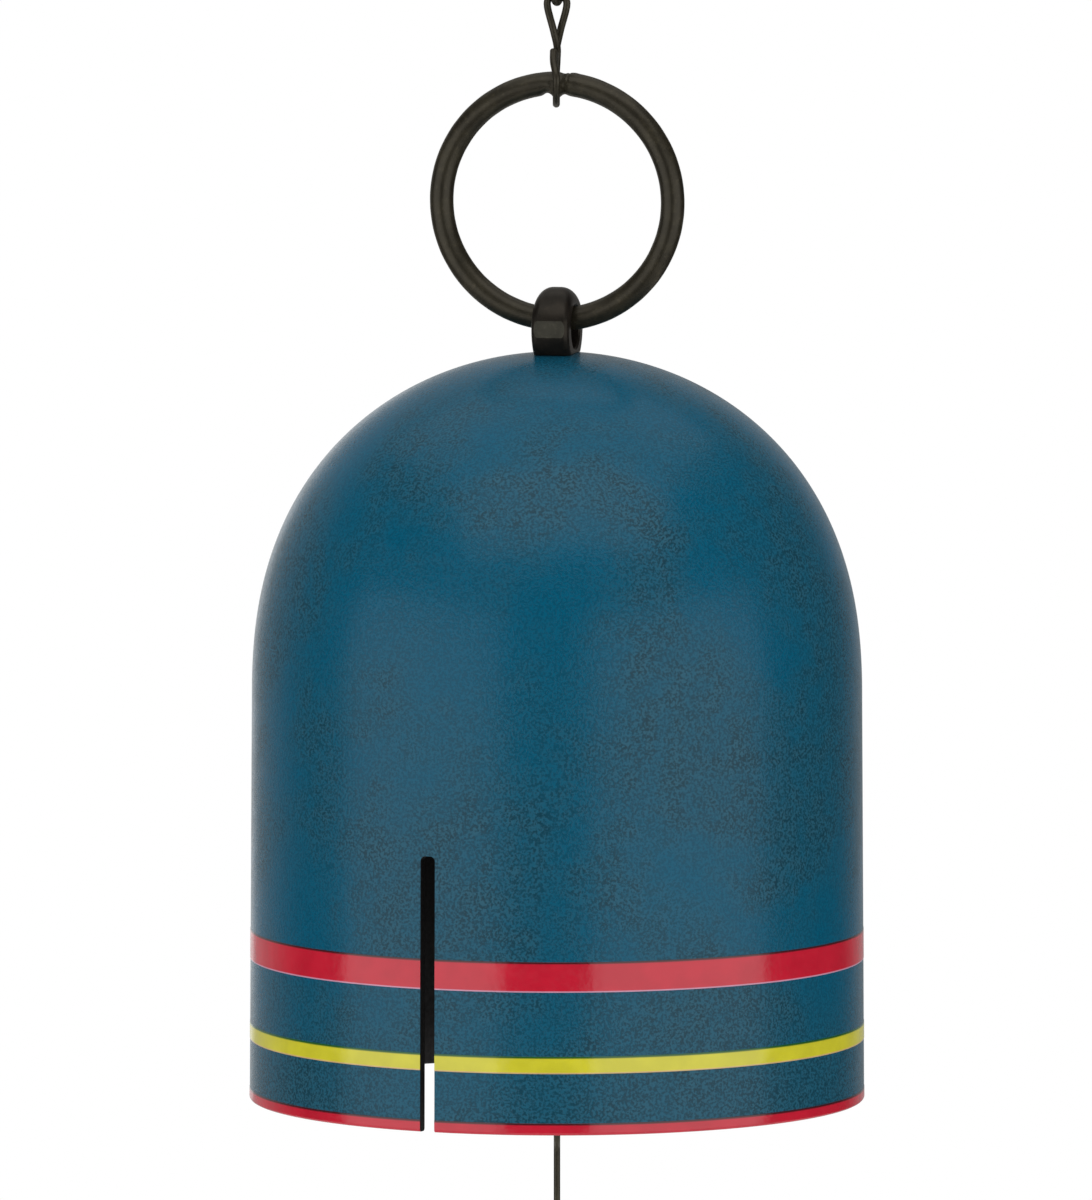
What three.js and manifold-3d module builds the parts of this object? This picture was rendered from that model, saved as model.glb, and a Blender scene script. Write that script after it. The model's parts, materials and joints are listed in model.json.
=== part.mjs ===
// Wind bell, in millimetres, +Z up, with its front facing -Y.
// A slotted steel bell hangs by its crown eye from a welded ring, on two double-loop chain links and an
// S-hook. A ball clapper hangs inside the bell, and a wire below the mouth carries the wind sail.
// The origin is the point where the hook bears on whatever it is hung from.

import * as THREE from 'three';
import { mergeVertices } from 'three/addons/utils/BufferGeometryUtils.js';
import { ParametricGeometry } from 'three/addons/geometries/ParametricGeometry.js';
import Module from 'manifold-3d';

const wasm = await Module();
wasm.setup();

// Fits
const seatGap = 0.3; // play where one piece bears on another
const boreGap = 0.3; // radial play of a shank or wire in its hole

// Hanging hook, an S of round wire
const hookWire = 3;
const hookMouth = 13; // inside width of the upper bend
const hookEye = 7; // inside width of the lower bend
const hookLength = 46.8; // overall
const hookTip = 4; // straight end beyond each bend

// Double-loop chain links
const linkWire = 2.03;
const linkLength = 32.4; // overall
const linkLoop = 3.4; // inside width of the loops that hold each other
const linkNeck = 15.4; // from the top of a link down to its neck
const linkLap = 2.4; // between the middles of the wire's strands at the neck
const chainTurn = 20; // degrees that the hook and the upper link are turned from the lower link

// Ring of round bar, butt-welded at the top
const ringBar = 6.35;
const ringOutside = 71.8;
const ringPlay = 7.4; // how much wider than the bar the link's loop is opened to take the ring
const ringTurn = 12; // degrees that the ring and the crown eye are turned from the lower link
const weldLength = 4.2; // half length of the weld along the ring
const weldRise = 1.4; // how far the weld hangs below the bar, on the inside of the ring
const weldGroove = 0.45; // depth of the groove at each end of the weld

// Crown eye, with its shank through the crown
const eyeOutside = 22;
const eyeAcross = 21.5; // across the flats at its front and back
const eyeWidth = 10.6;
const eyePlay = 5.65; // how much wider than the ring's bar the hole is
const eyeRound = 3.5; // radius of the eye's outer edges
const eyeEdge = 0.4; // chamfer of the hole's edges
const eyeFlat = 4.2; // depth cut off the eye's round outside where it sits on the crown
const shankDiameter = 8;
const shankGrip = 7.5; // length of shank inside the nut

// Bell shell
const bellDiameter = 170.6; // at the rim
const bellHeight = 207.4;
const bellStraight = 111; // height of the straight wall below the dome
const bellFlare = 0.75; // how much further out the straight wall is at the rim than at the dome
const bellWall = 3;
const domePower = 2.39; // fullness of the dome: 2 is an ellipse, more is squarer
const rimRound = 0.8;
const slotWidth = 4.3;
const slotHeight = 75.7;
const slotCorner = 1.4;
const slotAngle = 24.6; // degrees to the left of the front

// Washer and ring nut inside the crown
const washerDiameter = 24;
const washerThickness = 2;
const nutCorners = 15; // across the corners of the hexagon
const nutHeight = 9;
const nutRingBar = 4;
const nutRingOutside = 18;
const nutRingSink = 1; // how far the ring runs into the hexagon

// Clapper
const rodWire = 3;
const rodEyePlay = 2; // how much wider than the nut's ring bar the rod's eyes are inside
const eyeLead = 1.45; // bend from a straight wire into its eye, in radii of the eye
const eyeBend = 45; // degrees past level at which the bend meets the eye
const eyeWrap = 267; // degrees that the wire goes round its eye
const ballDiameter = 48;
const ballHeight = 31; // of the ball's centre above the rim
const collarDiameter = 6.4;
const collarLength = 4;

// Sail wire
const sailWire = 1.8;
const sailWireLength = 96; // overall
const sailEyeInside = 5.2;

// Wind sail
const sailWidth = 76;
const sailHeight = 96;
const sailThickness = 1.2;
const sailHole = 5;
const sailMargin = 3.4; // of plate above the hole
const sailCorner = 10;

// Facets
const bellFacets = 64;
const domeSteps = 13;
const wireFacets = 10; // around a wire
const eyeFacets = 36; // around the crown eye
const shankFacets = 20; // around shanks and their holes
const discFacets = 32; // around the washer
const ballFacets = 24;

const degrees = Math.PI / 180;

function finish(color, roughness, metalness) {
  return new THREE.MeshStandardMaterial({ color, roughness, metalness });
}

const darkBronze = finish(0x34302b, 0.55, 0.5);
const bluePatina = finish(0x17506e, 0.5, 0.2);
const zincSteel = finish(0x8d9092, 0.4, 0.9);
const stainedWood = finish(0x4a2d1b, 0.6, 0);

function piece(name, geometry, material) {
  const mesh = new THREE.Mesh(geometry, material);
  mesh.name = name;
  return mesh;
}

// A group placed at a height below or above its parent's own origin
function hung(height, turn, ...children) {
  const group = new THREE.Group();
  group.position.z = height;
  group.rotation.z = turn * degrees;
  group.add(...children);
  return group;
}

function solidOf(geometry) {
  const bare = geometry.clone();
  bare.deleteAttribute('normal');
  bare.deleteAttribute('uv');
  const merged = mergeVertices(bare);
  return new wasm.Manifold(new wasm.Mesh({
    numProp: 3,
    vertProperties: new Float32Array(merged.attributes.position.array),
    triVerts: new Uint32Array(merged.index.array),
  }));
}

function geometryOf(solid) {
  const mesh = solid.getMesh();
  const geometry = new THREE.BufferGeometry();
  geometry.setAttribute('position', new THREE.BufferAttribute(mesh.vertProperties, 3));
  geometry.setIndex(new THREE.BufferAttribute(mesh.triVerts, 1));
  geometry.computeVertexNormals();
  return geometry;
}

// A round bar standing on the Z axis
function uprightCylinder(diameter, bottom, top, facets) {
  const geometry = new THREE.CylinderGeometry(diameter / 2, diameter / 2, top - bottom, facets);
  geometry.rotateX(Math.PI / 2);
  geometry.translate(0, 0, (top + bottom) / 2);
  return geometry;
}

// A body of revolution about Z, from a closed profile of radius and height
function turned(profile, facets) {
  const closed = [...profile, profile[0]];
  const geometry = new THREE.LatheGeometry(closed.map(([r, z]) => new THREE.Vector2(r, z)), facets);
  geometry.rotateX(Math.PI / 2);
  return geometry;
}

// A smooth curve whose steps follow its points, so that a tight bend gets as many as a long straight
class WirePath extends THREE.CatmullRomCurve3 {
  getPointAt(u, target) {
    return this.getPoint(u, target);
  }

  getTangentAt(u, target) {
    return this.getTangent(u, target);
  }
}

function wireAlong(points, diameter, stepsPerPoint = 2) {
  const section = new THREE.Shape();
  section.absarc(0, 0, diameter / 2, 0, 2 * Math.PI);
  return new THREE.ExtrudeGeometry(section, {
    curveSegments: wireFacets / 2,
    steps: stepsPerPoint * (points.length - 1),
    bevelEnabled: false,
    extrudePath: new WirePath(points, false, 'centripetal'),
  });
}

// Points round an arc in the plane of two directions
function arcPoints(centre, across, up, radius, from, to, steps) {
  const points = [];
  for (let i = 0; i <= steps; i += 1) {
    const angle = (from + ((to - from) * i) / steps) * degrees;
    points.push(centre.clone()
      .addScaledVector(across, radius * Math.cos(angle))
      .addScaledVector(up, radius * Math.sin(angle)));
  }
  return points;
}

const alongX = new THREE.Vector3(1, 0, 0);
const alongY = new THREE.Vector3(0, 1, 0);
const alongZ = new THREE.Vector3(0, 0, 1);

function at(x, y, z) {
  return new THREE.Vector3(x, y, z);
}

// Hanging hook: its bearing point, under the top of the upper bend, is at the origin. It lies in YZ.
const hookTopRadius = (hookMouth + hookWire) / 2;
const hookEyeRadius = (hookEye + hookWire) / 2;
const hookTopCentre = hookWire / 2 - hookTopRadius;
const hookBar = 1.5 * hookWire - hookLength; // height of the wire's centre at the bottom

function hookGeometry() {
  const top = at(0, 0, hookTopCentre);
  const eye = at(0, 0, hookBar + hookEyeRadius);
  const points = [
    at(0, hookTopRadius, hookTopCentre - hookTip),
    ...arcPoints(top, alongY, alongZ, hookTopRadius, 0, 180, 6),
    ...arcPoints(eye, alongY, alongZ, hookEyeRadius, 0, -180, 6),
    at(0, -hookEyeRadius, eye.z + hookTip),
  ];
  return wireAlong(points, hookWire);
}

// Double-loop link: one wire bent into an upper loop in XZ and a lower loop in YZ, with its two cut ends
// lapped at the neck. The middle of the wire at the top of the upper loop is at the origin.
const linkPitch = linkLength - linkWire;

function linkGeometry(lowerInside) {
  const upper = (linkLoop + linkWire) / 2;
  const lower = (lowerInside + linkWire) / 2;
  const neck = linkWire / 2 - linkNeck;
  const upperCentre = at(0, 0, -upper);
  const lowerCentre = at(0, 0, lower - linkPitch);
  const legMiddle = (neck + lowerCentre.z) / 2;
  const crossing = neck + 1.8 * linkLap;
  const points = [
    at(-0.4 * linkLap, -0.85 * linkLap, neck - linkLap / 2),
    at(-0.4 * linkLap, -(lower + linkLap) / 2, legMiddle),
    ...arcPoints(lowerCentre, alongY, alongZ, lower, -180, 0, 6),
    at(0, (lower + linkLap) / 2, legMiddle),
    at(0, 0, neck),
    at(-upper / 2, -linkLap / 2, crossing),
    ...arcPoints(upperCentre, alongX, alongZ, upper, 180, 0, 6),
    at(upper / 2, linkLap / 2, crossing),
    at(0, linkLap, neck),
  ];
  return wireAlong(points, linkWire);
}

// Ring of round bar in XZ, about the origin. Steps gather at the weld, which is at the top.
const ringRadius = (ringOutside - ringBar) / 2;

function ringGeometry() {
  const slices = 56;
  const sides = 12;
  const gather = 0.6;
  const groovePlace = 0.8 * weldLength;
  const grooveWidth = 0.3 * weldLength;
  const dropWidth = 0.3 * weldLength;
  const centre = new THREE.Vector3();
  const outward = new THREE.Vector3();
  const surface = (u, v, target) => {
    const angle = 2 * Math.PI * u - gather * Math.sin(2 * Math.PI * u);
    const around = 2 * Math.PI * v;
    const signed = angle > Math.PI ? angle - 2 * Math.PI : angle;
    const along = Math.abs(signed) * ringRadius;
    const groove = weldGroove * Math.exp(-(((along - groovePlace) / grooveWidth) ** 2));
    const inside = Math.max(0, -Math.cos(around)) ** 2;
    const drop = weldRise * inside * Math.exp(-((along / dropWidth) ** 2));
    const radius = ringBar / 2 - groove + drop;
    outward.set(Math.sin(angle), 0, Math.cos(angle));
    centre.copy(outward).multiplyScalar(ringRadius);
    target.copy(centre).addScaledVector(outward, radius * Math.cos(around));
    target.y += radius * Math.sin(around);
  };
  return new ParametricGeometry(surface, slices, sides);
}

// Crown eye: a ring about X with rounded outer edges, on a flat foot and a shank. Its centre is the origin.
const eyeHole = ringBar + eyePlay;
const eyeFoot = eyeFlat - eyeOutside / 2;

function crownEyeGeometry(shankBottom) {
  const half = eyeWidth / 2;
  const hole = eyeHole / 2;
  const outside = eyeOutside / 2;
  const profile = [
    [hole, half - eyeEdge],
    [hole, eyeEdge - half],
    [hole + eyeEdge, -half],
  ];
  const roundSteps = 4;
  for (const side of [-1, 1]) {
    for (let i = 0; i <= roundSteps; i += 1) {
      const angle = (side < 0 ? i / roundSteps : 1 - i / roundSteps) * Math.PI / 2;
      profile.push([
        outside - eyeRound + eyeRound * Math.sin(angle),
        side * (half - eyeRound + eyeRound * Math.cos(angle)),
      ]);
    }
  }
  profile.push([hole + eyeEdge, half]);
  const ring = turned(profile, eyeFacets);
  ring.rotateY(Math.PI / 2);
  const flats = new THREE.BoxGeometry(2 * eyeWidth, eyeAcross, eyeOutside);
  flats.translate(0, 0, eyeFoot + eyeOutside / 2);
  const shank = uprightCylinder(shankDiameter, shankBottom, (eyeFoot - hole) / 2, shankFacets);
  return geometryOf(solidOf(ring).intersect(solidOf(flats)).add(solidOf(shank)));
}

// Bell shell: the dome is a revolved superellipse on a straight wall that flares a little to the rim.
// The middle of the rim is the origin.
const bellRadius = bellDiameter / 2;
const domeRadius = bellRadius - bellFlare;

function domeHeight(radius, inset) {
  const share = radius / (domeRadius - inset);
  return bellStraight + (bellHeight - inset - bellStraight) * (1 - share ** 2) ** (1 / domePower);
}

// Points up one face of the shell, from the straight wall to the crown hole
function domeProfile(inset, holeRadius) {
  const faceRadius = domeRadius - inset;
  const lastAngle = Math.acos(holeRadius / faceRadius);
  const points = [];
  for (let i = 0; i <= domeSteps; i += 1) {
    const radius = faceRadius * Math.cos((lastAngle * i) / domeSteps);
    points.push([radius, domeHeight(radius, inset)]);
  }
  return points;
}

function bellGeometry() {
  const holeRadius = shankDiameter / 2 + boreGap;
  const inside = bellRadius - bellWall;
  const shell = turned([
    [inside + rimRound, 0],
    [bellRadius - rimRound, 0],
    [bellRadius, rimRound],
    ...domeProfile(0, holeRadius),
    ...domeProfile(bellWall, holeRadius).reverse(),
    [inside, rimRound],
  ], bellFacets);

  const half = slotWidth / 2;
  const corner = Math.min(slotCorner, half);
  const outline = new THREE.Shape();
  outline.moveTo(-half, -bellWall);
  outline.lineTo(half, -bellWall);
  outline.lineTo(half, slotHeight - corner);
  outline.absarc(half - corner, slotHeight - corner, corner, 0, Math.PI / 2);
  outline.absarc(corner - half, slotHeight - corner, corner, Math.PI / 2, Math.PI);
  const cutter = new THREE.ExtrudeGeometry(outline, {
    depth: 3 * bellWall,
    curveSegments: 4,
    bevelEnabled: false,
  });
  cutter.rotateX(Math.PI / 2);
  cutter.translate(0, bellWall - bellRadius + bellWall, 0);
  cutter.rotateZ(-slotAngle * degrees);
  return geometryOf(solidOf(shell).subtract(solidOf(cutter)));
}

// Washer inside the crown, bearing on the dome at its outer edge. Heights are above the rim.
const washerTop = domeHeight(washerDiameter / 2, bellWall) - seatGap;
const washerBottom = washerTop - washerThickness;
const nutTop = washerBottom - seatGap;
const nutBottom = nutTop - nutHeight;
const nutRingRadius = (nutRingOutside - nutRingBar) / 2;
const nutRingCentre = nutBottom + nutRingSink - nutRingOutside / 2;
const clapperPivot = nutRingCentre - nutRingRadius;

function washerGeometry() {
  const hole = shankDiameter / 2 + boreGap;
  return turned([
    [hole, washerBottom],
    [washerDiameter / 2, washerBottom],
    [washerDiameter / 2, washerTop],
    [hole, washerTop],
  ], discFacets);
}

// Ring nut: a hexagon with a blind hole for the shank, and a ring about X below it
function nutGeometry() {
  const hexagon = uprightCylinder(nutCorners, nutBottom, nutTop, 6);
  const boreDiameter = shankDiameter + 2 * boreGap;
  const bore = uprightCylinder(boreDiameter, nutTop - shankGrip - seatGap, nutTop + seatGap, shankFacets);
  const ring = new THREE.TorusGeometry(nutRingRadius, nutRingBar / 2, 10, 28);
  ring.rotateY(Math.PI / 2);
  ring.translate(0, 0, nutRingCentre);
  return geometryOf(solidOf(hexagon).add(solidOf(ring)).subtract(solidOf(bore)));
}

// A straight wire with an eye at each end, both in XZ, hanging from the origin at the top of its upper eye
function eyedWire(diameter, length, upperInside, lowerInside) {
  const upper = (upperInside + diameter) / 2;
  const lower = (lowerInside + diameter) / 2;
  const upperCentre = at(0, 0, -upper);
  const lowerCentre = at(0, 0, diameter - length + lower);
  return wireAlong([
    ...arcPoints(upperCentre, alongX, alongZ, upper, 180 + eyeBend - eyeWrap, 180 + eyeBend, 7),
    at(0, 0, upperCentre.z - eyeLead * upper),
    at(0, 0, upperCentre.z - (eyeLead + 1) * upper),
    at(0, 0, lowerCentre.z + (eyeLead + 1) * lower),
    at(0, 0, lowerCentre.z + eyeLead * lower),
    ...arcPoints(lowerCentre, alongX, alongZ, lower, eyeBend, eyeBend - eyeWrap, 7),
  ], diameter);
}

// Clapper: heights of its pieces are above the rim
const rodEyeInside = nutRingBar + rodEyePlay;
const rodTop = clapperPivot + (nutRingBar + rodWire) / 2 + seatGap;
const ballTop = ballHeight + ballDiameter / 2;
const ballBottom = ballHeight - ballDiameter / 2;
const lowerCollarBottom = ballBottom - seatGap - collarLength;
const rodEyeRadius = (rodEyeInside + rodWire) / 2;
const rodBar = lowerCollarBottom - (eyeLead + 1) * rodEyeRadius;
const rodLength = rodTop - rodBar + rodWire;

function ballGeometry() {
  const hole = rodWire / 2 + boreGap;
  const radius = ballDiameter / 2;
  const profile = [];
  const steps = 14;
  const first = Math.asin(hole / radius);
  for (let i = 0; i <= steps; i += 1) {
    const angle = first + ((Math.PI - 2 * first) * i) / steps;
    profile.push([radius * Math.sin(angle), ballHeight - radius * Math.cos(angle)]);
  }
  return turned(profile, ballFacets);
}

function collarGeometry(bottom) {
  const hole = rodWire / 2 + boreGap;
  const edge = 0.5;
  const outside = collarDiameter / 2;
  return turned([
    [hole, bottom],
    [outside - edge, bottom],
    [outside, bottom + edge],
    [outside, bottom + collarLength - edge],
    [outside - edge, bottom + collarLength],
    [hole, bottom + collarLength],
  ], shankFacets);
}

// Wind sail: a plate in XZ, an ear round its hole widening to a straight lower edge with round corners.
// The middle of its hole is the origin.
function sailGeometry() {
  const ear = sailHole / 2 + sailMargin;
  const cornerX = sailWidth / 2 - sailCorner;
  const cornerZ = ear + sailCorner - sailHeight;
  const reach = Math.hypot(cornerX, cornerZ);
  const side = Math.atan2(cornerZ, cornerX) + Math.acos((ear - sailCorner) / reach);
  const outline = new THREE.Shape();
  outline.absarc(0, 0, ear, side, Math.PI - side);
  outline.absarc(-cornerX, cornerZ, sailCorner, Math.PI - side, 1.5 * Math.PI);
  outline.absarc(cornerX, cornerZ, sailCorner, -0.5 * Math.PI, side);
  const hole = new THREE.Path();
  hole.absarc(0, 0, sailHole / 2, 0, 2 * Math.PI, true);
  outline.holes.push(hole);
  const geometry = new THREE.ExtrudeGeometry(outline, {
    depth: sailThickness,
    curveSegments: 10,
    bevelEnabled: false,
  });
  geometry.translate(0, 0, -sailThickness / 2);
  geometry.rotateX(Math.PI / 2);
  return geometry;
}

// How far each piece hangs below what carries it
const upperLinkDrop = hookBar + (hookWire + linkWire) / 2 + seatGap;
const lowerLinkDrop = linkWire + seatGap - linkPitch;
const ringDrop = (linkWire + ringBar) / 2 + weldRise + seatGap - linkPitch - ringRadius;

// The ring's bar rises to both ends of the eye's hole, so the eye bears there
const barRise = ringRadius - Math.sqrt(ringRadius ** 2 - (eyeWidth / 2) ** 2);
const eyeDrop = barRise + seatGap - (eyeHole - ringBar) / 2;
const rimDrop = eyeFoot - seatGap - bellHeight;
const shankBottom = rimDrop + nutTop - shankGrip;

const sailWireDrop = rodBar + (rodWire + sailWire) / 2 + seatGap;
const sailDrop = sailWire - sailWireLength + sailWire / 2 + seatGap - sailHole / 2;

const sail = hung(sailDrop, 0, piece('wind_sail', sailGeometry(), bluePatina));
const sailLineShape = eyedWire(sailWire, sailWireLength, sailEyeInside, sailEyeInside);
const sailLine = piece('sail_wire', sailLineShape, darkBronze);
sailLine.rotation.z = Math.PI / 2;

const clapperRodShape = eyedWire(rodWire, rodLength, rodEyeInside, rodEyeInside);
const clapperRod = piece('clapper_rod', clapperRodShape, zincSteel);
clapperRod.position.z = rodTop;

// The bell is turned back, so that its own front keeps facing -Y
const bell = hung(
  rimDrop,
  ringTurn,
  piece('bell_shell', bellGeometry(), bluePatina),
  piece('crown_washer', washerGeometry(), zincSteel),
  piece('clapper_eye_nut', nutGeometry(), zincSteel),
  clapperRod,
  piece('clapper_ball', ballGeometry(), stainedWood),
  piece('clapper_collar_upper', collarGeometry(ballTop + seatGap), zincSteel),
  piece('clapper_collar_lower', collarGeometry(lowerCollarBottom), zincSteel),
  hung(sailWireDrop, 0, sailLine, sail),
);

const crownEye = piece('crown_eye', crownEyeGeometry(shankBottom), darkBronze);

const ring = hung(
  ringDrop,
  -ringTurn,
  piece('hanging_ring', ringGeometry(), darkBronze),
  hung(eyeDrop - ringRadius, 0, crownEye, bell),
);

const lowerLink = hung(
  lowerLinkDrop,
  chainTurn,
  piece('chain_link_lower', linkGeometry(ringBar + ringPlay), darkBronze),
  ring,
);

const windBell = hung(
  0,
  -chainTurn,
  piece('hanging_hook', hookGeometry(), darkBronze),
  hung(upperLinkDrop, 0, piece('chain_link_upper', linkGeometry(linkLoop), darkBronze), lowerLink),
);

export default windBell;
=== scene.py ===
"""Looks of the wind bell: fine meshes with painted, oiled and plated finishes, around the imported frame."""

import json
import math

import bmesh
import bpy
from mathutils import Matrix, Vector, noise


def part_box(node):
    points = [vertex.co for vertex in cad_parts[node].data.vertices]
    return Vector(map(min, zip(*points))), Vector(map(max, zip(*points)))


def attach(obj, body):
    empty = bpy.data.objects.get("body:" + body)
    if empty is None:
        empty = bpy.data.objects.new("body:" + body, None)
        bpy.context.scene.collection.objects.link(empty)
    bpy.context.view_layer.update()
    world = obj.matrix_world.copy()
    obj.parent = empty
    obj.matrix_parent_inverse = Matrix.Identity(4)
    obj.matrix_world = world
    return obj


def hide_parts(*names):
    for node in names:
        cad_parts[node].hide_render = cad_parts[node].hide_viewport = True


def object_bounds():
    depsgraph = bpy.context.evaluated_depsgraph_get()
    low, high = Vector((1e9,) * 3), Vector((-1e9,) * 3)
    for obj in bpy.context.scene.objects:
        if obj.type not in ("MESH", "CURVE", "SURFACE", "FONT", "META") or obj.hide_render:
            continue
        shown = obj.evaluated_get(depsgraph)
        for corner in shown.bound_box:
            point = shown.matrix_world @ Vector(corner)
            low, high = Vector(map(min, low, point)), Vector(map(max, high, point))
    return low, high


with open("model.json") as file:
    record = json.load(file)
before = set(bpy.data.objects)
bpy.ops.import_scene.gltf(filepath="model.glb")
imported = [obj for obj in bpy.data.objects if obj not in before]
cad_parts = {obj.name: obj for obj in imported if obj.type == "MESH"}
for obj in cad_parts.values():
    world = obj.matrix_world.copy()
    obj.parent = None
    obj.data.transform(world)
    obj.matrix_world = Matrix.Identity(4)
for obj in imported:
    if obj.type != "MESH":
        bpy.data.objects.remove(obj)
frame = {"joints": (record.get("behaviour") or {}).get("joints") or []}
cad_box = [list(corner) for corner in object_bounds()]

MM = 0.001  # every size below is in millimetres, in the frame's own axes

# Camera, from the photograph: pixels are in its frame of 1092 by 1200
PHOTO_WIDTH = 1092
PHOTO_HEIGHT = 1200
AXIS_COLUMN = 557  # the bell's axis
RIM_ROW = 1098.2  # the middle of the rim
PIXEL = 0.2769  # size of a pixel at the bell's axis
ELEVATION = 5.43  # degrees that the camera looks down
DISTANCE = 4500

# Sizes of the solids, as in the part's source
SEAT_GAP = 0.3
HOOK_WIRE, HOOK_MOUTH, HOOK_EYE, HOOK_TIP = 3, 13, 7, 4
LINK_WIRE, LINK_LENGTH, LINK_LOOP, LINK_NECK, LINK_LAP = 2.03, 32.4, 3.4, 15.4, 2.4
CHAIN_TURN = 20  # degrees that the hook and the upper link are turned from the lower link
RING_BAR, RING_OUTSIDE, RING_PLAY = 6.35, 71.8, 7.4
RING_TURN = 12  # degrees that the ring and the crown eye are turned from the lower link
WELD_LENGTH = 4.2
EYE_OUTSIDE, EYE_ACROSS, EYE_WIDTH, EYE_PLAY, EYE_FLAT = 22, 21.5, 10.6, 5.65, 4.2
SHANK_DIAMETER = 8
BELL_RADIUS, BELL_HEIGHT, BELL_STRAIGHT, BELL_FLARE, BELL_WALL = 85.3, 207.4, 111, 0.75, 3
DOME_POWER = 2.39
RIM_ROUND = 0.8
SLOT_WIDTH, SLOT_HEIGHT, SLOT_CORNER, SLOT_ANGLE = 4.3, 75.7, 1.4, 24.6
BORE_GAP = 0.3
NUT_CORNERS, NUT_RING_BAR, NUT_RING_OUTSIDE, NUT_RING_SINK = 15, 4, 18, 1
ROD_WIRE, ROD_EYE_INSIDE = 3, 6
BALL_DIAMETER = 48
SAIL_WIRE, SAIL_EYE_INSIDE = 1.8, 5.2
SAIL_WIDTH, SAIL_HEIGHT, SAIL_THICKNESS, SAIL_HOLE = 76, 96, 1.2, 5
SAIL_MARGIN, SAIL_CORNER = 3.4, 10
EYE_LEAD, EYE_BEND, EYE_WRAP = 1.45, 45, 267  # bend of a wire into its eye

# Finer sizes, for the looks
LINK_LEAN = 0.2  # how far to the left the lower link's lower loop is
UPPER_PINCH, LOWER_PINCH = 0.5, 0.35  # width where a link's legs cross, as a share of its upper loop
WIRE_STEPS, WIRE_SIDES = 6, 20  # steps in each span of a wire's path, and sides of its section
WIRE_CAP = 0.35  # rise of a wire's domed end, as a share of its radius
RING_FILM = 0.1  # thickness of the ring's paint
RING_UNEVEN = (0.04, 0.3)  # depth and frequency of the waves in the bar
WELD_UNEVEN = (0.14, 0.9)  # the same at the weld
WELD_OUTSIDE = ((0.1, 4.9, 0.7), (-0.5, 1.9, 1.0), (-0.25, 3.3, 0.25))  # swells: rise, place and width
WELD_INSIDE = ((1.15, 0, 1.2), (-0.7, -3, 1.3), (-0.35, 2.6, 1.0))
EYE_ROUND, EYE_SIDE_ROUND = 4.3, 1.9  # radius of the eye's outer edges at its top and low at its sides
EYE_EDGE = 0.5  # chamfer of the eye's hole
EYE_FOOT = 1  # how far the eye's foot runs into the crown before it is shaped to it
DOME_STEPS = 96
CUT_PAST = 1  # how far a drill runs past the face that it cuts

# Paint, with heights from the rim: a band has its lowest and its highest edge
RIM_BAND = (0, 3.3)
YELLOW_BAND = (17, 21.6)
RED_BAND = (39.3, 47.5)
BAND_FILM = 0.08  # thickness of the gloss paint
PALE_LINE = (0.18, 0.39)  # where a band's pale line starts to fade and ends, up from the lower edge
DARK_LINE = (0.3, 0.65)  # the same for its dark line, down from the upper edge
GREYING_TOP = 60  # where the paint stops turning greyer towards the rim
GREYING_FOOT = (-40, -20)  # where it fades out again, so that the sail has none
FILM_SHIFT = Vector((-90, 8, -53))  # where the clouds of film lie
LIT_LOW_TOP = 16  # where the painted light inside, lighter towards the rim, ends

# Studio
FLOOR_RADIUS = 800
FLOOR_DROP = 60  # below the sail
FLOOR_FADE = (0.5, 0.98)  # shares of its radius between which it fades out
SOFTBOX_DISTANCE = 1600
DIM_ROOM = 0.02
WALL_AZIMUTH = 192  # degrees to the right of the front
WALL_GLOW = 0.36  # light of the wall's surroundings
WALL_EDGE, GLOW_EDGE = (0.975, 0.998), (0.5, 0.97)  # cosines of the angles from the wall's middle
AMBIENT = (0.42, 0.58)  # away from the wall and towards it

X_AXIS = Vector((1, 0, 0))
Y_AXIS = Vector((0, 1, 0))
Z_AXIS = Vector((0, 0, 1))


def pivot(joint):
    """Height of a joint's axis."""
    return next(j["pos_m"][2] for j in frame["joints"] if j["name"] == joint) / MM


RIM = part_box("bell_shell")[0].z / MM
RING_RADIUS = (RING_OUTSIDE - RING_BAR) / 2 - RING_FILM
EYE_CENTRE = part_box("crown_eye")[1].z / MM - EYE_OUTSIDE / 2
LINK_TOP = pivot("upper_link_swing") + (HOOK_WIRE + LINK_WIRE) / 2 + SEAT_GAP


# Node trees

def feed(tree, socket, value):
    """An input linked to another node's output, or set to a value."""
    if isinstance(value, bpy.types.NodeSocket):
        tree.links.new(value, socket)
    else:
        socket.default_value = value


def feed_named(tree, made, **inputs):
    """Inputs of a node by name, with an underscore for each space."""
    for name, value in inputs.items():
        feed(tree, made.inputs[name.replace("_", " ")], value)


def node(tree, kind, settings=None, **inputs):
    made = tree.nodes.new(kind)
    for name, value in (settings or {}).items():
        setattr(made, name, value)
    feed_named(tree, made, **inputs)
    return made


def mixed(tree, factor, first, second):
    """A colour between two, each a colour or a socket."""
    made = node(tree, "ShaderNodeMix", {"data_type": "RGBA"})
    for index, value in ((0, factor), (6, first), (7, second)):  # the inputs that are for colours
        feed(tree, made.inputs[index], value)
    return made.outputs[2]


def clouds(tree, place, size, detail, rough, distort=0.0):
    """Soft noise whose patches are about that many millimetres across."""
    made = node(
        tree, "ShaderNodeTexNoise", Vector=place, Scale=1 / (size * MM), Detail=detail,
        Roughness=rough, Distortion=distort,
    )
    return made.outputs["Fac"]


def between(tree, value, low, high, start=0.0, end=1.0):
    """Value stretched from low and high to start and end, smoothly and within them."""
    made = node(
        tree, "ShaderNodeMapRange", {"interpolation_type": "SMOOTHSTEP"}, Value=value,
        From_Min=low, From_Max=high, To_Min=start, To_Max=end,
    )
    return made.outputs["Result"]


def times(tree, first, second):
    made = node(tree, "ShaderNodeMath", {"operation": "MULTIPLY"})
    feed(tree, made.inputs[0], first)
    feed(tree, made.inputs[1], second)
    return made.outputs[0]


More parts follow.
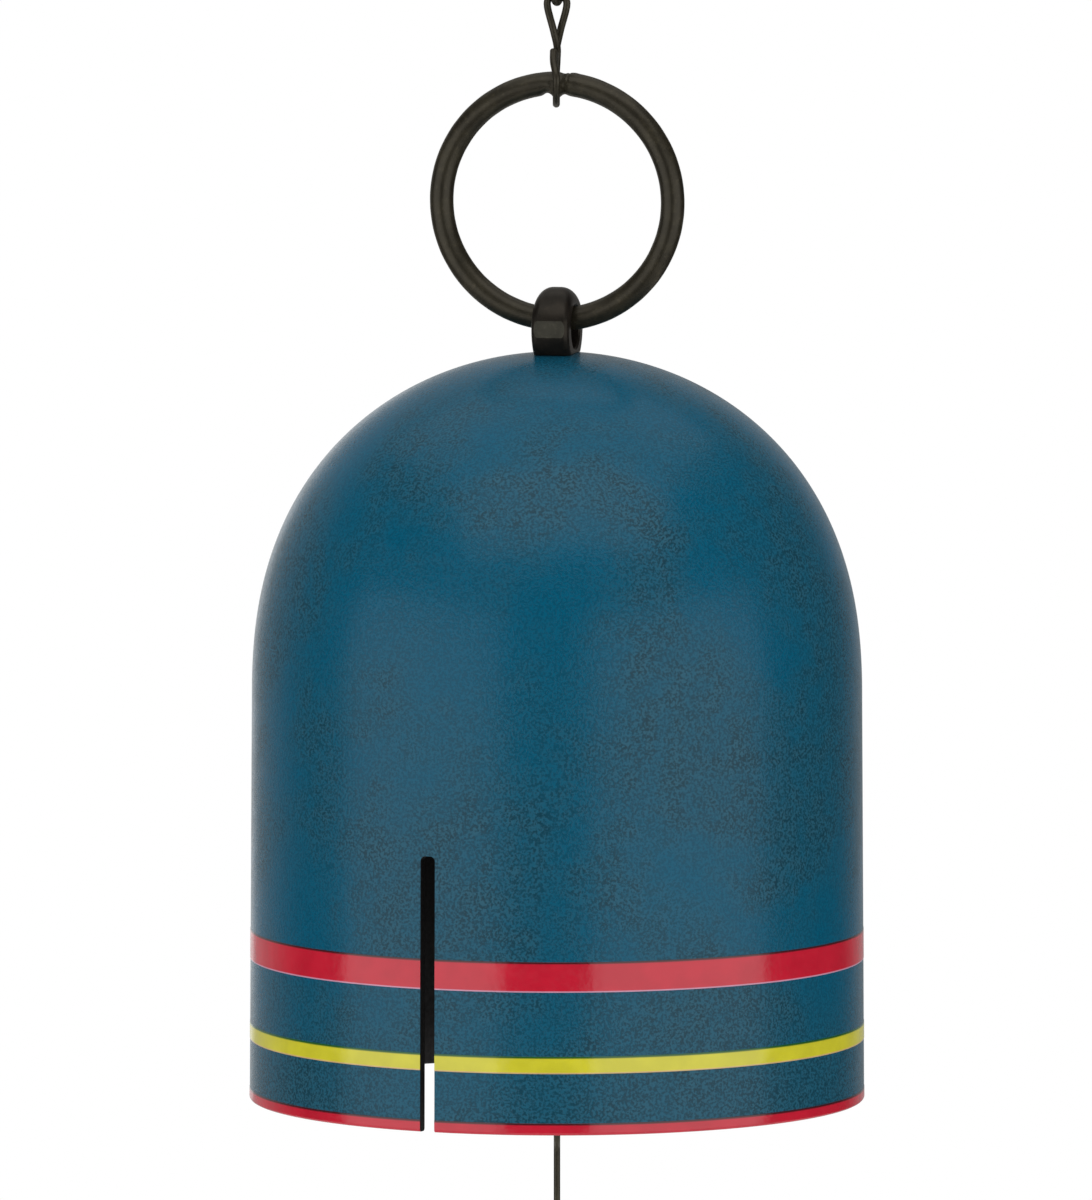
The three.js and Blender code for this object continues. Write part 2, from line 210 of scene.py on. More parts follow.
def bumped(tree, height, depth, normal=None):
    """A normal raised by height, which is depth millimetres high where it is 1."""
    made = node(tree, "ShaderNodeBump", Height=height, Distance=depth * MM, Strength=1.0)
    if normal:
        tree.links.new(normal, made.inputs["Normal"])
    return made.outputs["Normal"]


def colour(red, green, blue):
    """A colour from its display values out of 255."""
    def linear(value):
        share = value / 255
        return share / 12.92 if share <= 0.04045 else ((share + 0.055) / 1.055) ** 2.4
    return (linear(red), linear(green), linear(blue), 1)


def material(name, build):
    made = bpy.data.materials.new(name)
    made.use_nodes = True
    tree = made.node_tree
    place = node(tree, "ShaderNodeTexCoord").outputs["Object"]
    build(tree, tree.nodes["Principled BSDF"], place)
    return made


def height_of(tree, place):
    """Height in the frame, in metres, with the part at rest."""
    return node(tree, "ShaderNodeSeparateXYZ", Vector=place).outputs["Z"]


# Finishes

def blue_patina(tree, shader, place):
    """Deep teal paint with a leathery grain, under a sponged grey film in clouds; the paint also turns
    greyer, more speckled and rougher towards the rim.
    """
    height = height_of(tree, place)
    # Greyer towards the rim, fading out below it so that the sail stays clear
    near_rim = between(tree, height, RIM * MM, (RIM + GREYING_TOP) * MM, 0.5, 0.0)
    low = times(tree, near_rim, between(tree, height, *((RIM + end) * MM for end in GREYING_FOOT)))
    shifted = node(tree, "ShaderNodeMapping", Vector=place, Location=FILM_SHIFT * MM).outputs["Vector"]
    film = between(tree, clouds(tree, shifted, 40, 4, 0.55, 0.4), 0.34, 0.64, 0.04, 1.0)
    blots = between(tree, clouds(tree, place, 6, 5, 0.6), 0.3, 0.7, 0.45, 1.0)
    sponge = between(tree, low, 0.0, 1.0, times(tree, film, blots), 1.0)
    grain = between(tree, clouds(tree, place, 0.72, 2, 0.6), 0.4, 0.6)
    specks = times(tree, grain, between(tree, sponge, 0.0, 1.0, 0.3, 0.74))
    base = mixed(tree, times(tree, sponge, 0.65), colour(0, 86, 114), colour(46, 90, 106))
    painted = mixed(tree, specks, base, colour(5, 42, 54))
    rough = between(tree, sponge, 0.0, 1.0, 0.19, 0.25)
    normal = bumped(tree, grain, 0.03)
    feed_named(tree, shader, Base_Color=painted, Roughness=rough, Normal=normal, Specular_IOR_Level=0.25)


def band_paint(band, base, low_line, high_line):
    """Gloss paint over the height of one band, with a pale line at its lower edge and a dark one above."""
    def build(tree, shader, place):
        low, high = ((RIM + edge) * MM for edge in band)
        share = node(
            tree, "ShaderNodeMapRange", Value=height_of(tree, place), From_Min=low, From_Max=high,
        ).outputs["Result"]
        ramp = node(tree, "ShaderNodeValToRGB", Fac=share)
        tall = band[1] - band[0]
        stops = ramp.color_ramp.elements
        stops[0].position = PALE_LINE[0] / tall
        stops[0].color = low_line
        stops[1].position = 1 - DARK_LINE[0] / tall
        stops[1].color = high_line
        for position in (PALE_LINE[1] / tall, 1 - DARK_LINE[1] / tall):
            stops.new(position).color = base
        drift = between(tree, clouds(tree, place, 9, 3, 0.5), 0.3, 0.7, 0.0, 0.12)
        tone = mixed(tree, drift, ramp.outputs["Color"], colour(0, 0, 0))
        peel = bumped(tree, clouds(tree, place, 0.7, 2, 0.6), 0.012)
        waves = bumped(tree, clouds(tree, place, 3.2, 2, 0.5), 0.05, peel)
        rough = between(tree, clouds(tree, place, 1.4, 2, 0.5), 0.35, 0.65, 0.12, 0.2)
        feed_named(tree, shader, Base_Color=tone, Roughness=rough, Normal=waves, Specular_IOR_Level=0.7)
    return build


def inside_black_and_shade(tree, shader, place):
    """Thin black paint inside the shell, scuffed in places. Its near-black tone is partly painted shade, and
    it is painted lighter towards the rim where light comes in from below.
    """
    scuffs = between(tree, clouds(tree, place, 5, 6, 0.7, 1.0), 0.58, 0.78)
    # Near black: black paint, darkened further as painted shade inside the bell
    bare = mixed(tree, times(tree, scuffs, 0.25), colour(5, 3, 4), colour(52, 48, 44))
    # Painted light: lighter towards the rim, where light comes in from below
    painted_light_low = between(tree, height_of(tree, place), RIM * MM, (RIM + LIT_LOW_TOP) * MM, 0.8, 0.0)
    base = mixed(tree, painted_light_low, bare, colour(38, 36, 36))
    rough = between(tree, clouds(tree, place, 1.1, 3, 0.6), 0.3, 0.7, 0.55, 0.75)
    normal = bumped(tree, clouds(tree, place, 0.9, 2, 0.6), 0.04)
    feed_named(tree, shader, Base_Color=base, Roughness=rough, Normal=normal, Specular_IOR_Level=0.25)


def bronze_paint(dark, pale, rubbed_tone, sheen):
    """Oiled brown-black bronze paint: brown clouds, fine pits and paler rubbed streaks."""
    def build(tree, shader, place):
        tone = between(tree, clouds(tree, place, 6, 4, 0.6), 0.35, 0.7)
        rubbed = between(tree, clouds(tree, place, 1.6, 4, 0.65), 0.52, 0.74)
        base = mixed(tree, tone, dark, pale)
        worn = mixed(tree, times(tree, rubbed, 0.4), base, rubbed_tone)
        rough = between(tree, rubbed, 0.0, 1.0, 0.36, 0.3)
        normal = bumped(tree, clouds(tree, place, 0.55, 3, 0.6), 0.03)
        feed_named(
            tree, shader, Base_Color=worn, Roughness=rough, Normal=normal, Metallic=0.2,
            Specular_IOR_Level=sheen, Specular_Tint=(1.0, 0.92, 0.76, 1.0),
        )
    return build


def zinc_steel(tree, shader, place):
    """Zinc plate with its pale crystal patches and fine drawing lines."""
    patches = between(tree, clouds(tree, place, 2.4, 4, 0.6, 0.8), 0.35, 0.68)
    dull = between(tree, clouds(tree, place, 7, 3, 0.5), 0.5, 0.75)
    base = mixed(tree, patches, colour(150, 152, 154), colour(186, 188, 188))
    aged = mixed(tree, times(tree, dull, 0.6), base, colour(120, 116, 108))
    rough = between(tree, patches, 0.0, 1.0, 0.42, 0.3)
    normal = bumped(tree, clouds(tree, place, 0.4, 2, 0.5), 0.015)
    feed_named(tree, shader, Base_Color=aged, Roughness=rough, Normal=normal, Metallic=0.95)


def stained_wood(tree, shader, place):
    """Dark-stained hardwood: growth rings across the ball, fine pores along them."""
    stretched = node(tree, "ShaderNodeMapping", Vector=place, Scale=(1, 1, 0.22)).outputs["Vector"]
    rings = node(
        tree, "ShaderNodeTexWave", {"wave_type": "RINGS", "rings_direction": "Y"}, Vector=stretched,
        Scale=110.0, Distortion=5.0, Detail=3.0, Detail_Scale=1.4,
    ).outputs["Fac"]
    pores = between(tree, clouds(tree, stretched, 0.5, 3, 0.6), 0.56, 0.72)
    base = mixed(tree, rings, colour(66, 38, 22), colour(98, 60, 36))
    stained = mixed(tree, times(tree, pores, 0.7), base, colour(34, 20, 13))
    rough = between(tree, rings, 0.0, 1.0, 0.5, 0.38)
    normal = bumped(tree, pores, -0.05)
    feed_named(tree, shader, Base_Color=stained, Roughness=rough, Normal=normal, Specular_IOR_Level=0.45)


RED_PAINT, RED_LOW, RED_HIGH = colour(198, 28, 51), colour(206, 150, 176), colour(70, 24, 32)
YELLOW_PAINT, YELLOW_LOW, YELLOW_HIGH = colour(211, 204, 48), colour(214, 180, 120), colour(34, 92, 40)
OILED_TONES = colour(33, 30, 22), colour(47, 43, 32), colour(76, 70, 54)
FORGED_TONES = colour(22, 19, 17), colour(36, 31, 27), colour(50, 44, 36)
# Lighter tones for the eye's flats, a painted highlight
LIT_FLAT_TONES = colour(42, 42, 37), colour(56, 55, 48), colour(74, 72, 62)

PATINA = material("blue_patina", blue_patina)
RIM_RED = material("rim_red", band_paint(RIM_BAND, RED_PAINT, RED_PAINT, RED_HIGH))
RED = material("red_band", band_paint(RED_BAND, RED_PAINT, RED_LOW, RED_HIGH))
YELLOW = material("yellow_band", band_paint(YELLOW_BAND, YELLOW_PAINT, YELLOW_LOW, YELLOW_HIGH))
INSIDE = material("inside_black_and_shade", inside_black_and_shade)
BRONZE = material("dark_bronze", bronze_paint(*OILED_TONES, 0.62))
FORGED = material("forged_bronze", bronze_paint(*FORGED_TONES, 0.35))
LIT_FLATS = material("lit_flats_bronze", bronze_paint(*LIT_FLAT_TONES, 0.5))
ZINC = material("zinc_steel", zinc_steel)
WOOD = material("stained_wood", stained_wood)

# Finishes of the bell, and their places in the list
BELL_FINISHES = [PATINA, RIM_RED, YELLOW, RED, INSIDE]
PAINT_ZONE, RIM_ZONE, YELLOW_ZONE, RED_ZONE, INSIDE_ZONE = range(5)


# Meshes

def quads(rows, columns, loop=False):
    """Faces between neighbouring rows, each a closed ring of points. Loop joins the last to the first."""
    faces = []
    for i in range(rows if loop else rows - 1):
        for j in range(columns):
            here = i * columns
            there = (i + 1) % rows * columns
            following = (j + 1) % columns
            faces.append((here + j, here + following, there + following, there + j))
    return faces


def capped(rows, columns):
    """Faces between rows of points, with a flat face at each end."""
    last = (rows - 1) * columns
    return [*quads(rows, columns), tuple(range(columns)), tuple(range(last, last + columns))]


def new_piece(name, vertices, faces, materials, zones=None):
    mesh = bpy.data.meshes.new(name)
    mesh.from_pydata([Vector(v) * MM for v in vertices], [], faces)
    for made in materials:
        mesh.materials.append(made)
    if zones:
        mesh.polygons.foreach_set("material_index", zones)
    piece = bpy.data.objects.new(name, mesh)
    bpy.context.scene.collection.objects.link(piece)
    return piece


def clean(piece, sharp=40):
    """Faces outward, and smooth apart from edges sharper than that many degrees."""
    work = bmesh.new()
    work.from_mesh(piece.data)
    bmesh.ops.remove_doubles(work, verts=work.verts, dist=1e-7)
    bmesh.ops.recalc_face_normals(work, faces=work.faces)
    work.to_mesh(piece.data)
    work.free()
    piece.data.polygons.foreach_set("use_smooth", [True] * len(piece.data.polygons))
    piece.data.set_sharp_from_angle(angle=math.radians(sharp))
    return piece


def combined(piece, tool, operation):
    """The piece joined with or cut by a tool, which is then gone."""
    change = piece.modifiers.new("combine", "BOOLEAN")
    change.object = tool
    change.operation = operation
    change.solver = "EXACT"
    bpy.context.view_layer.update()
    result = bpy.data.meshes.new_from_object(piece.evaluated_get(bpy.context.evaluated_depsgraph_get()))
    piece.modifiers.clear()
    piece.data = result
    bpy.data.objects.remove(tool)
    return piece


def dress(piece, body, slot, *nodes):
    """The piece rides on its body, in place of the frame's nodes."""
    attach(piece, body)
    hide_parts(*nodes)


def lathe(profile, segments):
    """A closed profile of radius and height, turned about Z: points and faces."""
    points = []
    for radius, height in profile:
        for j in range(segments):
            angle = 2 * math.pi * j / segments
            points.append((radius * math.cos(angle), radius * math.sin(angle), height))
    return points, quads(len(profile), segments, loop=True)


def arc(centre, across, up, radius, start, end, steps):
    """Points round an arc in the plane of two directions, angles in degrees."""
    made = []
    for i in range(steps + 1):
        angle = math.radians(start + (end - start) * i / steps)
        made.append(centre + across * (radius * math.cos(angle)) + up * (radius * math.sin(angle)))
    return made


def level_circle(height, radius, sides):
    """Points round a circle about Z."""
    return arc(Z_AXIS * height, X_AXIS, Y_AXIS, radius, 0, 360 - 360 / sides, sides - 1)


def corner(centre_radius, centre_height, radius, start, end, steps=5):
    """Points of a rounded corner of a turned profile."""
    made = []
    for i in range(steps + 1):
        angle = math.radians(start + (end - start) * i / steps)
        made.append((centre_radius + radius * math.cos(angle), centre_height + radius * math.sin(angle)))
    return made


def smooth_path(points, steps):
    """A centripetal spline through the points, with that many steps for each span."""
    ends = [2 * points[0] - points[1], *points, 2 * points[-1] - points[-2]]
    made = []
    for p0, p1, p2, p3 in zip(ends, ends[1:], ends[2:], ends[3:]):
        t1 = (p1 - p0).length ** 0.5
        t2 = t1 + (p2 - p1).length ** 0.5
        t3 = t2 + (p3 - p2).length ** 0.5
        for i in range(steps):
            t = t1 + (t2 - t1) * i / steps
            a1 = p0.lerp(p1, t / t1)
            a2 = p1.lerp(p2, (t - t1) / (t2 - t1))
            a3 = p2.lerp(p3, (t - t2) / (t3 - t2))
            b1 = a1.lerp(a2, t / t2)
            b2 = a2.lerp(a3, (t - t1) / (t3 - t1))
            made.append(b1.lerp(b2, (t - t1) / (t2 - t1)))
    return [*made, points[-1].copy()]


def wire(points, diameter):
    """A round wire along a spline, with each cut end slightly domed: points and faces."""
    path = smooth_path(points, WIRE_STEPS)
    steps_along = [(b - a).normalized() for a, b in zip(path, path[1:])]
    between_steps = [(a + b).normalized() for a, b in zip(steps_along, steps_along[1:])]
    tangents = [steps_along[0], *between_steps, steps_along[-1]]
    side = tangents[0].orthogonal().normalized()
    rings = []
    for point, tangent in zip(path, tangents):
        side = (side - tangent * side.dot(tangent)).normalized()
        rings.append((point, side.copy(), tangent.cross(side), diameter / 2))
    cap_steps, cap_angle = 4, 84
    starts, finishes = [], []
    for i in range(1, cap_steps + 1):
        angle = math.radians(cap_angle * i / cap_steps)
        reach = WIRE_CAP * diameter / 2 * math.sin(angle)
        radius = diameter / 2 * math.cos(angle)
        starts.insert(0, (path[0] - tangents[0] * reach, rings[0][1], rings[0][2], radius))
        finishes.append((path[-1] + tangents[-1] * reach, rings[-1][1], rings[-1][2], radius))
    rings = [*starts, *rings, *finishes]
    vertices = []
    for point, across, up, radius in rings:
        for j in range(WIRE_SIDES):
            angle = 2 * math.pi * j / WIRE_SIDES
            vertices.append(point + across * (radius * math.cos(angle)) + up * (radius * math.sin(angle)))
    return vertices, capped(len(rings), WIRE_SIDES)


def turned(points, degrees, height=0):
    """Points turned about Z and lifted."""
    c, s = math.cos(math.radians(degrees)), math.sin(math.radians(degrees))
    return [Vector((x * c - y * s, x * s + y * c, z + height)) for x, y, z in points]


def swell(value, middle, width):
    """A smooth bump of height 1."""
    return math.exp(-(((value - middle) / width) ** 2))


# Hanging line

def hanging_hook():
    top_radius = (HOOK_MOUTH + HOOK_WIRE) / 2
    eye_radius = (HOOK_EYE + HOOK_WIRE) / 2
    top = Vector((0, 0, HOOK_WIRE / 2 - top_radius))
    eye = Vector((0, 0, pivot("upper_link_swing") + eye_radius))
    points = [
        Vector((0, top_radius, top.z - HOOK_TIP)),
        *arc(top, Y_AXIS, Z_AXIS, top_radius, 0, 180, 6),
        *arc(eye, Y_AXIS, Z_AXIS, eye_radius, 0, -180, 6),
        Vector((0, -eye_radius, eye.z + HOOK_TIP)),
    ]
    piece = new_piece("s_hook", *wire(turned(points, -CHAIN_TURN), HOOK_WIRE), [BRONZE])
    dress(clean(piece), "hook", "dark_bronze", "hanging_hook")


def chain_link(name, top, turn, lower_inside, lean, pinch, body, node_name):
    """
    One wire bent into an upper loop in XZ and a lower loop in YZ, its cut ends lapped at the neck.
    The lower loop leans to the left, and the legs cross at the pinch, a share of the upper loop.
    """
    upper = (LINK_LOOP + LINK_WIRE) / 2
    lower = (lower_inside + LINK_WIRE) / 2
    neck = LINK_WIRE / 2 - LINK_NECK
    upper_centre = Vector((0, 0, -upper))
    lower_centre = Vector((-lean, 0, lower - LINK_LENGTH + LINK_WIRE))
    leg_middle = (neck + lower_centre.z) / 2
    crossing = neck + 1.8 * LINK_LAP
    aside = -0.4 * LINK_LAP  # of the lapped end
    points = [
        Vector((aside, -0.85 * LINK_LAP, neck - LINK_LAP / 2)),
        Vector((aside, -(lower + LINK_LAP) / 2, leg_middle)),
        *arc(lower_centre, Y_AXIS, Z_AXIS, lower, -180, 0, 6),
        Vector((0, (lower + LINK_LAP) / 2, leg_middle)),
        Vector((0, 0, neck)),
        Vector((-pinch * upper, -LINK_LAP / 2, crossing)),
        *arc(upper_centre, X_AXIS, Z_AXIS, upper, 180, 0, 6),
        Vector((pinch * upper, LINK_LAP / 2, crossing)),
        Vector((0, LINK_LAP, neck)),
    ]
    piece = new_piece(name, *wire(turned(points, turn, top), LINK_WIRE), [BRONZE])
    dress(clean(piece), body, "dark_bronze", node_name)


def relief(along, swells):
    """Height of the weld's swells at a place along the ring."""
    return sum(rise * swell(along, place, width) for rise, place, width in swells)


def uneven(place, depth, frequency):
    return depth * noise.noise(place * frequency)


def hanging_ring():
    """Round bar with its butt weld at the top: a dip and a lipped seam outside, a drop inside."""
    slices, sides = 320, 36
    gather = 0.6  # how far the slices are drawn together at the weld
    beside = 0.4  # share of the outer swells at the bar's sides
    bar = RING_BAR / 2 + RING_FILM
    vertices = []
    for i in range(slices):
        turn = 2 * math.pi * i / slices
        angle = turn - gather * math.sin(turn)
        along = (angle - 2 * math.pi if angle > math.pi else angle) * RING_RADIUS
        outer = relief(along, WELD_OUTSIDE)
        inner = relief(along, WELD_INSIDE)
        melted = swell(along, 0, WELD_LENGTH)
        outward = Vector((math.sin(angle), 0, math.cos(angle)))
        for j in range(sides):
            around = 2 * math.pi * j / sides
            facing = math.cos(around)
            raised = outer * max(0, beside + (1 - beside) * facing) + inner * max(0, -facing) ** 2
            direction = outward * facing + Y_AXIS * math.sin(around)
            place = outward * RING_RADIUS + direction * bar
            waves = uneven(place, *RING_UNEVEN) + melted * uneven(place, *WELD_UNEVEN)
            vertices.append(outward * RING_RADIUS + direction * (bar + raised + waves))
    vertices = turned(vertices, -RING_TURN, pivot("bell_swing") + RING_RADIUS)
    piece = new_piece("welded_ring", vertices, quads(slices, sides, loop=True), [BRONZE])
    dress(clean(piece, sharp=70), "ring", "dark_bronze", "hanging_ring")


# Bell

def eye_section(hole, edge):
    """Radius and side of points round the eye's section, with its outer edges rounded."""
    half = EYE_WIDTH / 2
    middle = EYE_OUTSIDE / 2 - edge
    steps = 16
    return [
        (hole, half - EYE_EDGE),
        (hole, EYE_EDGE - half),
        (hole + EYE_EDGE, -half),
        *corner(middle, edge - half, edge, -90, 0, steps),
        *corner(middle, half - edge, edge, 0, 90, steps),
        (hole + EYE_EDGE, half),
    ]


def crown_eye():
    """Forged eye about X, round on top, flat at front and back with a painted highlight on the flats, on a
    shank through the crown.
    """
    hole = (RING_BAR + EYE_PLAY) / 2
    segments = 120
    sections = []
    for j in range(segments):
        angle = 2 * math.pi * j / segments
        share = max(0, math.sin(angle)) ** 2
        edge = EYE_SIDE_ROUND + (EYE_ROUND - EYE_SIDE_ROUND) * share
        sections.append([
            (side, radius * math.cos(angle), radius * math.sin(angle))
            for radius, side in eye_section(hole, edge)
        ])
    points = [point for row in zip(*sections) for point in row]
    faces = quads(len(sections[0]), segments, loop=True)
    placed = turned(points, -RING_TURN, EYE_CENTRE)
    eye = clean(new_piece("forged_eye", placed, faces, [FORGED, LIT_FLATS]))
    foot = EYE_FLAT - EYE_OUTSIDE / 2 - SEAT_GAP - EYE_FOOT
    outline = [(-EYE_WIDTH, -EYE_ACROSS / 2), (EYE_WIDTH, -EYE_ACROSS / 2)]
    outline += [(-x, -y) for x, y in outline]
    bounds = [(x, y, z) for z in (foot, EYE_OUTSIDE) for x, y in outline]
    # The flats take the lighter bronze: a painted highlight
    flats = new_piece("flats", turned(bounds, -RING_TURN, EYE_CENTRE), capped(2, len(outline)), [LIT_FLATS])
    eye = combined(eye, clean(flats), "INTERSECT")
    eye = combined(eye, crown_seat(), "DIFFERENCE")
    shank_radius = SHANK_DIAMETER / 2
    top = EYE_CENTRE + (foot - hole) / 2
    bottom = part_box("crown_eye")[0].z / MM
    chamfer = 0.6
    profile = [(shank_radius - chamfer, bottom), (shank_radius, bottom + chamfer), (shank_radius, top)]
    eye = clean(combined(eye, rod_between("shank", profile), "UNION"), sharp=9)
    dress(eye, "bell", "dark_bronze", "crown_eye")


def crown_seat():
    """The crown of the bell, a little proud, which shapes the foot of the eye."""
    proud = SEAT_GAP / 3
    crown = [point for point in dome(0, DOME_STEPS) if point[0] < EYE_OUTSIDE]
    face = [(radius, RIM + height + proud) for radius, height in crown]
    under = face[0][1] - BELL_WALL
    profile = [*face, (face[-1][0], under), (face[0][0], under)]
    return clean(new_piece("seat", *lathe(profile, 96), [FORGED]))


def rod_between(name, profile):
    """A turned rod with a flat face at each end, from its lowest profile point to its highest."""
    segments = 48
    points = []
    for radius, height in profile:
        points += level_circle(height, radius, segments)
    return clean(new_piece(name, points, capped(len(profile), segments), [BRONZE]))


def dome(inset, steps):
    """Points up one face of the dome, from the straight wall to the crown hole."""
    face = BELL_RADIUS - BELL_FLARE - inset
    rise = BELL_HEIGHT - inset - BELL_STRAIGHT
    last = math.acos((SHANK_DIAMETER / 2 + BORE_GAP) / face)
    made = []
    for i in range(steps + 1):
        share = math.cos(last * i / steps)
        made.append((face * share, BELL_STRAIGHT + rise * (1 - share ** 2) ** (1 / DOME_POWER)))
    return made


def wall(height):
    """Radius of the outer face at a height on the straight wall, which flares to the rim."""
    return BELL_RADIUS - BELL_FLARE * height / BELL_STRAIGHT


def bell_profile():
    """Points round the wall's section and the finish that starts at each, from inside the rim outward."""
    inner = BELL_RADIUS - BELL_WALL + RIM_ROUND
    outer = BELL_RADIUS + BAND_FILM - RIM_ROUND
    top = RIM_BAND[1]
    made = [(*point, INSIDE_ZONE) for point in corner(inner, RIM_ROUND, RIM_ROUND, 180, 270)]
    made += [(*point, RIM_ZONE) for point in corner(outer, RIM_ROUND, RIM_ROUND, -90, 0)]
    made += [(wall(top) + BAND_FILM, top, RIM_ZONE), (wall(top), top + BAND_FILM, PAINT_ZONE)]
    for (low, high), zone in ((YELLOW_BAND, YELLOW_ZONE), (RED_BAND, RED_ZONE)):
        made += [(wall(low), low - BAND_FILM, zone), (wall(low) + BAND_FILM, low, zone)]
        made += [(wall(high) + BAND_FILM, high, zone), (wall(high), high + BAND_FILM, PAINT_ZONE)]
    made += [(*point, PAINT_ZONE) for point in dome(0, DOME_STEPS)]
    made += [(*point, INSIDE_ZONE) for point in reversed(dome(BELL_WALL, DOME_STEPS // 2))]
    return made


def slot_cutter():
    """A prism through the front wall, turned to the slot's place, with rounded upper corners."""
    half = SLOT_WIDTH / 2
    side = half - SLOT_CORNER
    shoulder = SLOT_HEIGHT - SLOT_CORNER
    outline = [
        (-half, -BELL_WALL),
        (half, -BELL_WALL),
        *corner(side, shoulder, SLOT_CORNER, 0, 90, 6),
        *corner(-side, shoulder, SLOT_CORNER, 90, 180, 6),
    ]
    near, far = -BELL_RADIUS - BELL_WALL, 2 * BELL_WALL - BELL_RADIUS
    points = [Vector((x, y, z)) for y in (near, far) for x, z in outline]
    faces = capped(2, len(outline))
    zones = [INSIDE_ZONE] * len(faces)
    return clean(new_piece("slot", turned(points, -SLOT_ANGLE, RIM), faces, BELL_FINISHES, zones))


def bell_shell():
    segments = 240
    profile = bell_profile()
    points, faces = lathe([(radius, RIM + height) for radius, height, _ in profile], segments)
    zones = [zone for _, _, zone in profile for _ in range(segments)]
    shell = clean(new_piece("painted_bell", points, faces, BELL_FINISHES, zones))
    shell = clean(combined(shell, slot_cutter(), "DIFFERENCE"), sharp=30)
    dress(shell, "bell", "blue_patina", "bell_shell")


def crown_washer():
    low, high = (end.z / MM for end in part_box("crown_washer"))
    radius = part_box("crown_washer")[1].x / MM
    hole = SHANK_DIAMETER / 2 + BORE_GAP
    edge = 0.3
    profile = [
        (hole, low),
        *corner(radius - edge, low + edge, edge, -90, 0, 3),
        *corner(radius - edge, high - edge, edge, 0, 90, 3),
        (hole, high),
    ]
    piece = new_piece("plain_washer", *lathe(profile, 96), [ZINC])
    dress(clean(piece), "bell", "zinc_steel", "crown_washer")


def clapper_nut():
    """Chamfered hexagon nut with a blind hole, and the ring below it that carries the clapper."""
    segments = 96
    ring_radius = (NUT_RING_OUTSIDE - NUT_RING_BAR) / 2
    ring_centre = pivot("clapper_swing") + ring_radius
    bottom = ring_centre + NUT_RING_OUTSIDE / 2 - NUT_RING_SINK
    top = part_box("clapper_eye_nut")[1].z / MM
    corners = NUT_CORNERS / 2
    flat = corners * math.cos(math.pi / 6)
    bevel_start, bevel_rise, bevel_steps = flat - 0.2, 0.9, 6
    bevel = [i / bevel_steps for i in range(bevel_steps + 1)]
    chamfer = [(bevel_start + (corners - bevel_start) * share, bevel_rise * share) for share in bevel]
    rows = [(limit, bottom + rise) for limit, rise in chamfer]
    rows += [(limit, top - rise) for limit, rise in reversed(chamfer)]
    points = []
    for limit, height in rows:
        for j in range(segments):
            angle = 2 * math.pi * j / segments
            off = (angle + math.pi / 6) % (math.pi / 3) - math.pi / 6
            radius = min(limit, flat / math.cos(off))
            points.append((radius * math.cos(angle), radius * math.sin(angle), height))
    nut = clean(new_piece("ring_nut", points, capped(len(rows), segments), [ZINC]), sharp=25)
    bore_radius = SHANK_DIAMETER / 2 + BORE_GAP
    bore_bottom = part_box("crown_eye")[0].z / MM - SEAT_GAP
    bore = rod_between("bore", [(bore_radius, bore_bottom), (bore_radius, top + CUT_PAST)])
    nut = combined(nut, bore, "DIFFERENCE")
    sides = 24
    section = corner(ring_radius, 0, NUT_RING_BAR / 2, 0, 360 - 360 / sides, sides - 1)
    points, faces = lathe(section, 80)
    laid = [Vector((along, across, up + ring_centre)) for up, across, along in points]
    ring = clean(new_piece("nut_ring", laid, faces, [ZINC]))
    nut = clean(combined(nut, ring, "UNION"), sharp=28)
    dress(nut, "bell", "zinc_steel", "clapper_eye_nut")


# Clapper and sail

def eyed_wire(name, diameter, inside, top, bottom, turn, finish):
    """A straight wire with an eye bent at each end, between the middles of its highest and lowest bars."""
    radius = (inside + diameter) / 2
    upper = Vector((0, 0, -radius))
    lower = Vector((0, 0, bottom - top + radius))
    bend = 180 + EYE_BEND
    points = [
        *arc(upper, X_AXIS, Z_AXIS, radius, bend - EYE_WRAP, bend, 7),
        Vector((0, 0, upper.z - EYE_LEAD * radius)),
        Vector((0, 0, upper.z - (EYE_LEAD + 1) * radius)),
        Vector((0, 0, lower.z + (EYE_LEAD + 1) * radius)),
        Vector((0, 0, lower.z + EYE_LEAD * radius)),
        *arc(lower, X_AXIS, Z_AXIS, radius, EYE_BEND, EYE_BEND - EYE_WRAP, 7),
    ]
    return clean(new_piece(name, *wire(turned(points, turn, top), diameter), [finish]))


def clapper_rod():
    top = pivot("clapper_swing") + (NUT_RING_BAR + ROD_WIRE) / 2 + SEAT_GAP
    bottom = pivot("sail_wire_swing")
    piece = eyed_wire("bent_rod", ROD_WIRE, ROD_EYE_INSIDE, top, bottom, 0, ZINC)
    dress(piece, "clapper", "zinc_steel", "clapper_rod")


def clapper_ball():
    """Turned ball with a drilled hole, its edges eased, and two fine turning lines about its middle."""
    low, high = (end.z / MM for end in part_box("clapper_ball"))
    middle = (low + high) / 2
    hole = ROD_WIRE / 2 + BORE_GAP
    radius = BALL_DIAMETER / 2
    line_height, line_width, line_depth = 4, 0.35, 0.3
    lip, ease, depth = 0.8, 0.25, 0.9  # of the hole's edges
    first = math.asin((hole + lip) / radius)
    steps = 120
    profile = [(hole, low + depth), (hole + ease, low + ease)]
    for i in range(steps + 1):
        angle = first + (math.pi - 2 * first) * i / steps
        height = -radius * math.cos(angle)
        reach = radius - line_depth * swell(abs(height), line_height, line_width)
        profile.append((reach * math.sin(angle), middle - reach * math.cos(angle)))
    profile += [(hole + ease, high - ease), (hole, high - depth)]
    piece = new_piece("turned_ball", *lathe(profile, 96), [WOOD])
    dress(clean(piece), "clapper", "stained_wood", "clapper_ball")


